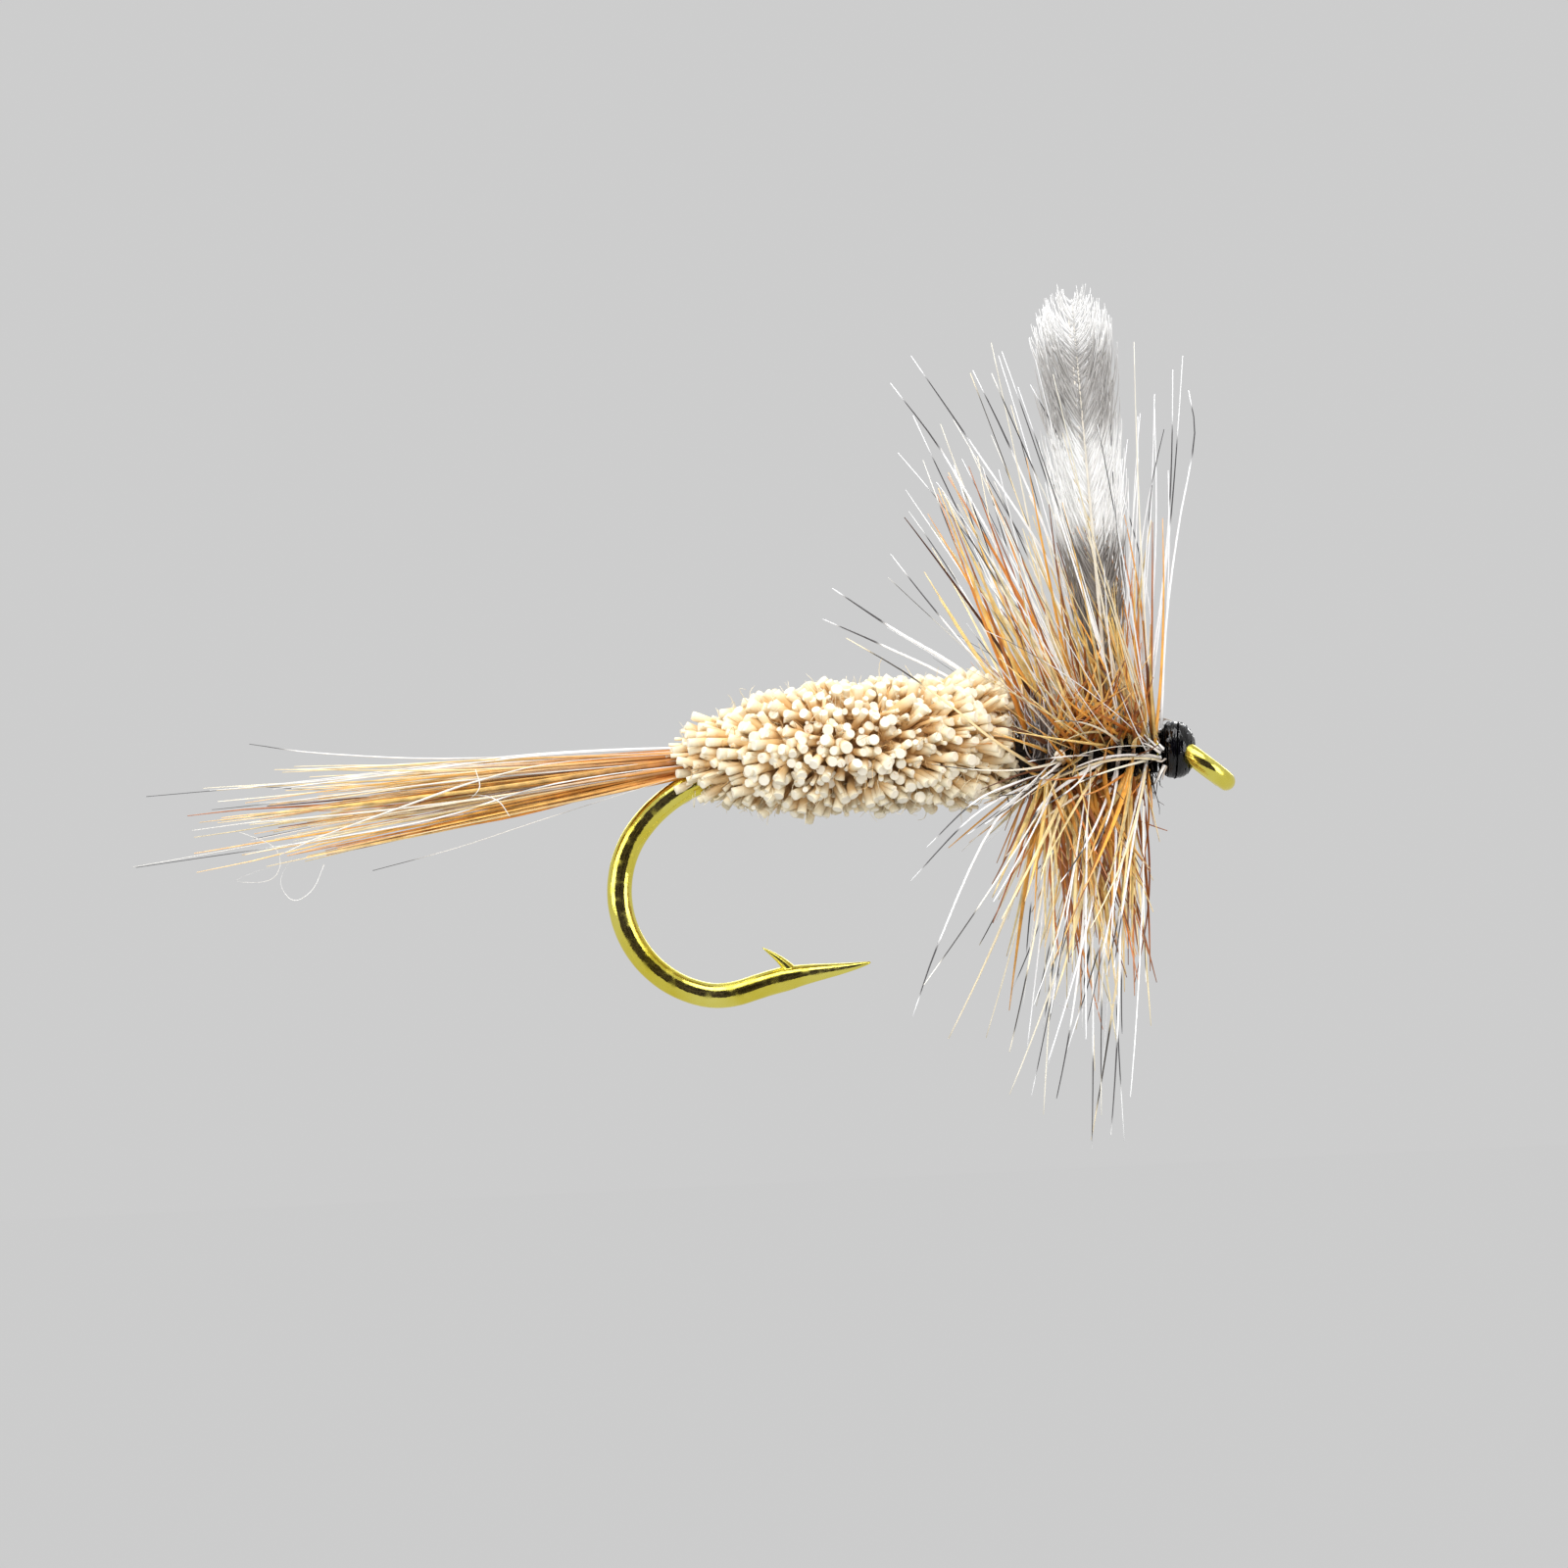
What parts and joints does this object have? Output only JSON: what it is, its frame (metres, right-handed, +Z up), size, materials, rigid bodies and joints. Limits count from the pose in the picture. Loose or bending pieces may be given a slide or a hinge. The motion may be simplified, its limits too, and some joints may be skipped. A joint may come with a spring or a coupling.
{
  "type": "dry fly",
  "caption": "Dry fly: down-eyed barbed hook with a fibre tail, a clipped spun-hair body, upright feather-tip wings, a bushy wound hackle and a varnished thread head.",
  "frame": {"origin": "centre of the hole in the hook's eye", "axes": "+X along the shank, from the bend towards the eye; +Z up, the side the wings stand on; +Y to the fly's left. The eye's hole is tilted 40 degrees from +Z towards +X."},
  "size_m": [0.0253, 0.0179, 0.0195],
  "materials": {
    "hook_gold": "polished gold-coloured plating on steel wire",
    "black_thread": "waxed tying thread",
    "tail_brown": "glossy brown feather fibre",
    "tail_cream": "pale cream feather fibre",
    "tail_barred": "grey barred feather fibre",
    "deer_hair": "bleached hollow hair, clipped",
    "dark_fur": "dark brown dubbed fur",
    "wing_quill": "pale feather stem",
    "wing_web": "white feather with dark bars",
    "brown_quill": "brown feather stem",
    "brown_hackle": "glossy ginger-brown feather fibre",
    "grizzly_quill": "grey feather stem",
    "grizzly_hackle": "glossy white feather fibre with dark bars",
    "head_cement": "clear varnish over black thread"
  },
  "bodies": {
    "root": {"hook": "hook_gold", "tail_thread_base": "black_thread", "tail_brown_fibres": "tail_brown", "tail_cream_fibres": "tail_cream", "tail_barred_fibres": "tail_barred", "tail_lashing": "black_thread", "body_thread": "black_thread", "deer_hair_bunch_1": "deer_hair", "deer_hair_bunch_2": "deer_hair", "deer_hair_bunch_3": "deer_hair", "deer_hair_bunch_4": "deer_hair", "deer_hair_bunch_5": "deer_hair", "deer_hair_bunch_6": "deer_hair", "thorax_thread_base": "black_thread", "thorax_dubbing": "dark_fur", "wing_left_quill": "wing_quill", "wing_left_web": "wing_web", "wing_right_quill": "wing_quill", "wing_right_web": "wing_web", "wing_lashing": "black_thread", "brown_hackle_quill": "brown_quill", "brown_hackle_turn_1": "brown_hackle", "brown_hackle_turn_2": "brown_hackle", "brown_hackle_turn_3": "brown_hackle", "brown_hackle_turn_4": "brown_hackle", "grizzly_hackle_quill": "grizzly_quill", "grizzly_hackle_turn_1": "grizzly_hackle", "grizzly_hackle_turn_2": "grizzly_hackle", "grizzly_hackle_turn_3": "grizzly_hackle", "grizzly_hackle_turn_4": "grizzly_hackle", "hackle_lashing": "black_thread", "head_thread": "black_thread", "whip_finish": "black_thread", "head_cement": "head_cement"}
  },
  "joints": []
}
